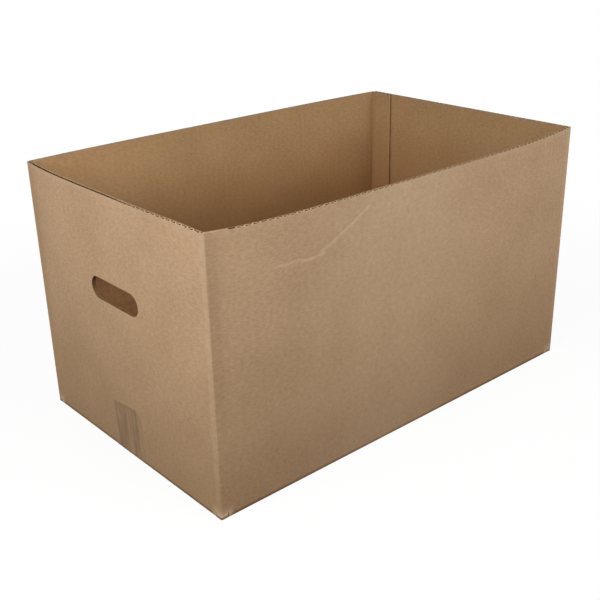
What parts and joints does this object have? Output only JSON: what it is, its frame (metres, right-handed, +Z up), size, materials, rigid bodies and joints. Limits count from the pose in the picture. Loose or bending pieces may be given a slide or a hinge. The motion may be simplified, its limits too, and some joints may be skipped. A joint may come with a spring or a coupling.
{
  "type": "kraft shipping box",
  "caption": "Open-topped corrugated kraft shipping box with a hand hole in each end wall, folded bottom flaps and a strip of sealing tape along the bottom seam.",
  "frame": {"origin": "middle of the bottom, on the underside of the sealing tape", "axes": "+X along the long walls, the front wall faces -Y, +Z up to the open top"},
  "size_m": [0.6474, 0.4162, 0.353],
  "materials": {
    "kraft_board": "matt unbleached kraft paper",
    "glue": "dried adhesive",
    "tape": "thin brownish film with fine streaks"
  },
  "bodies": {
    "root": {"carton": "kraft_board", "joint_glue": "glue", "sealing_tape": "tape"}
  },
  "joints": []
}
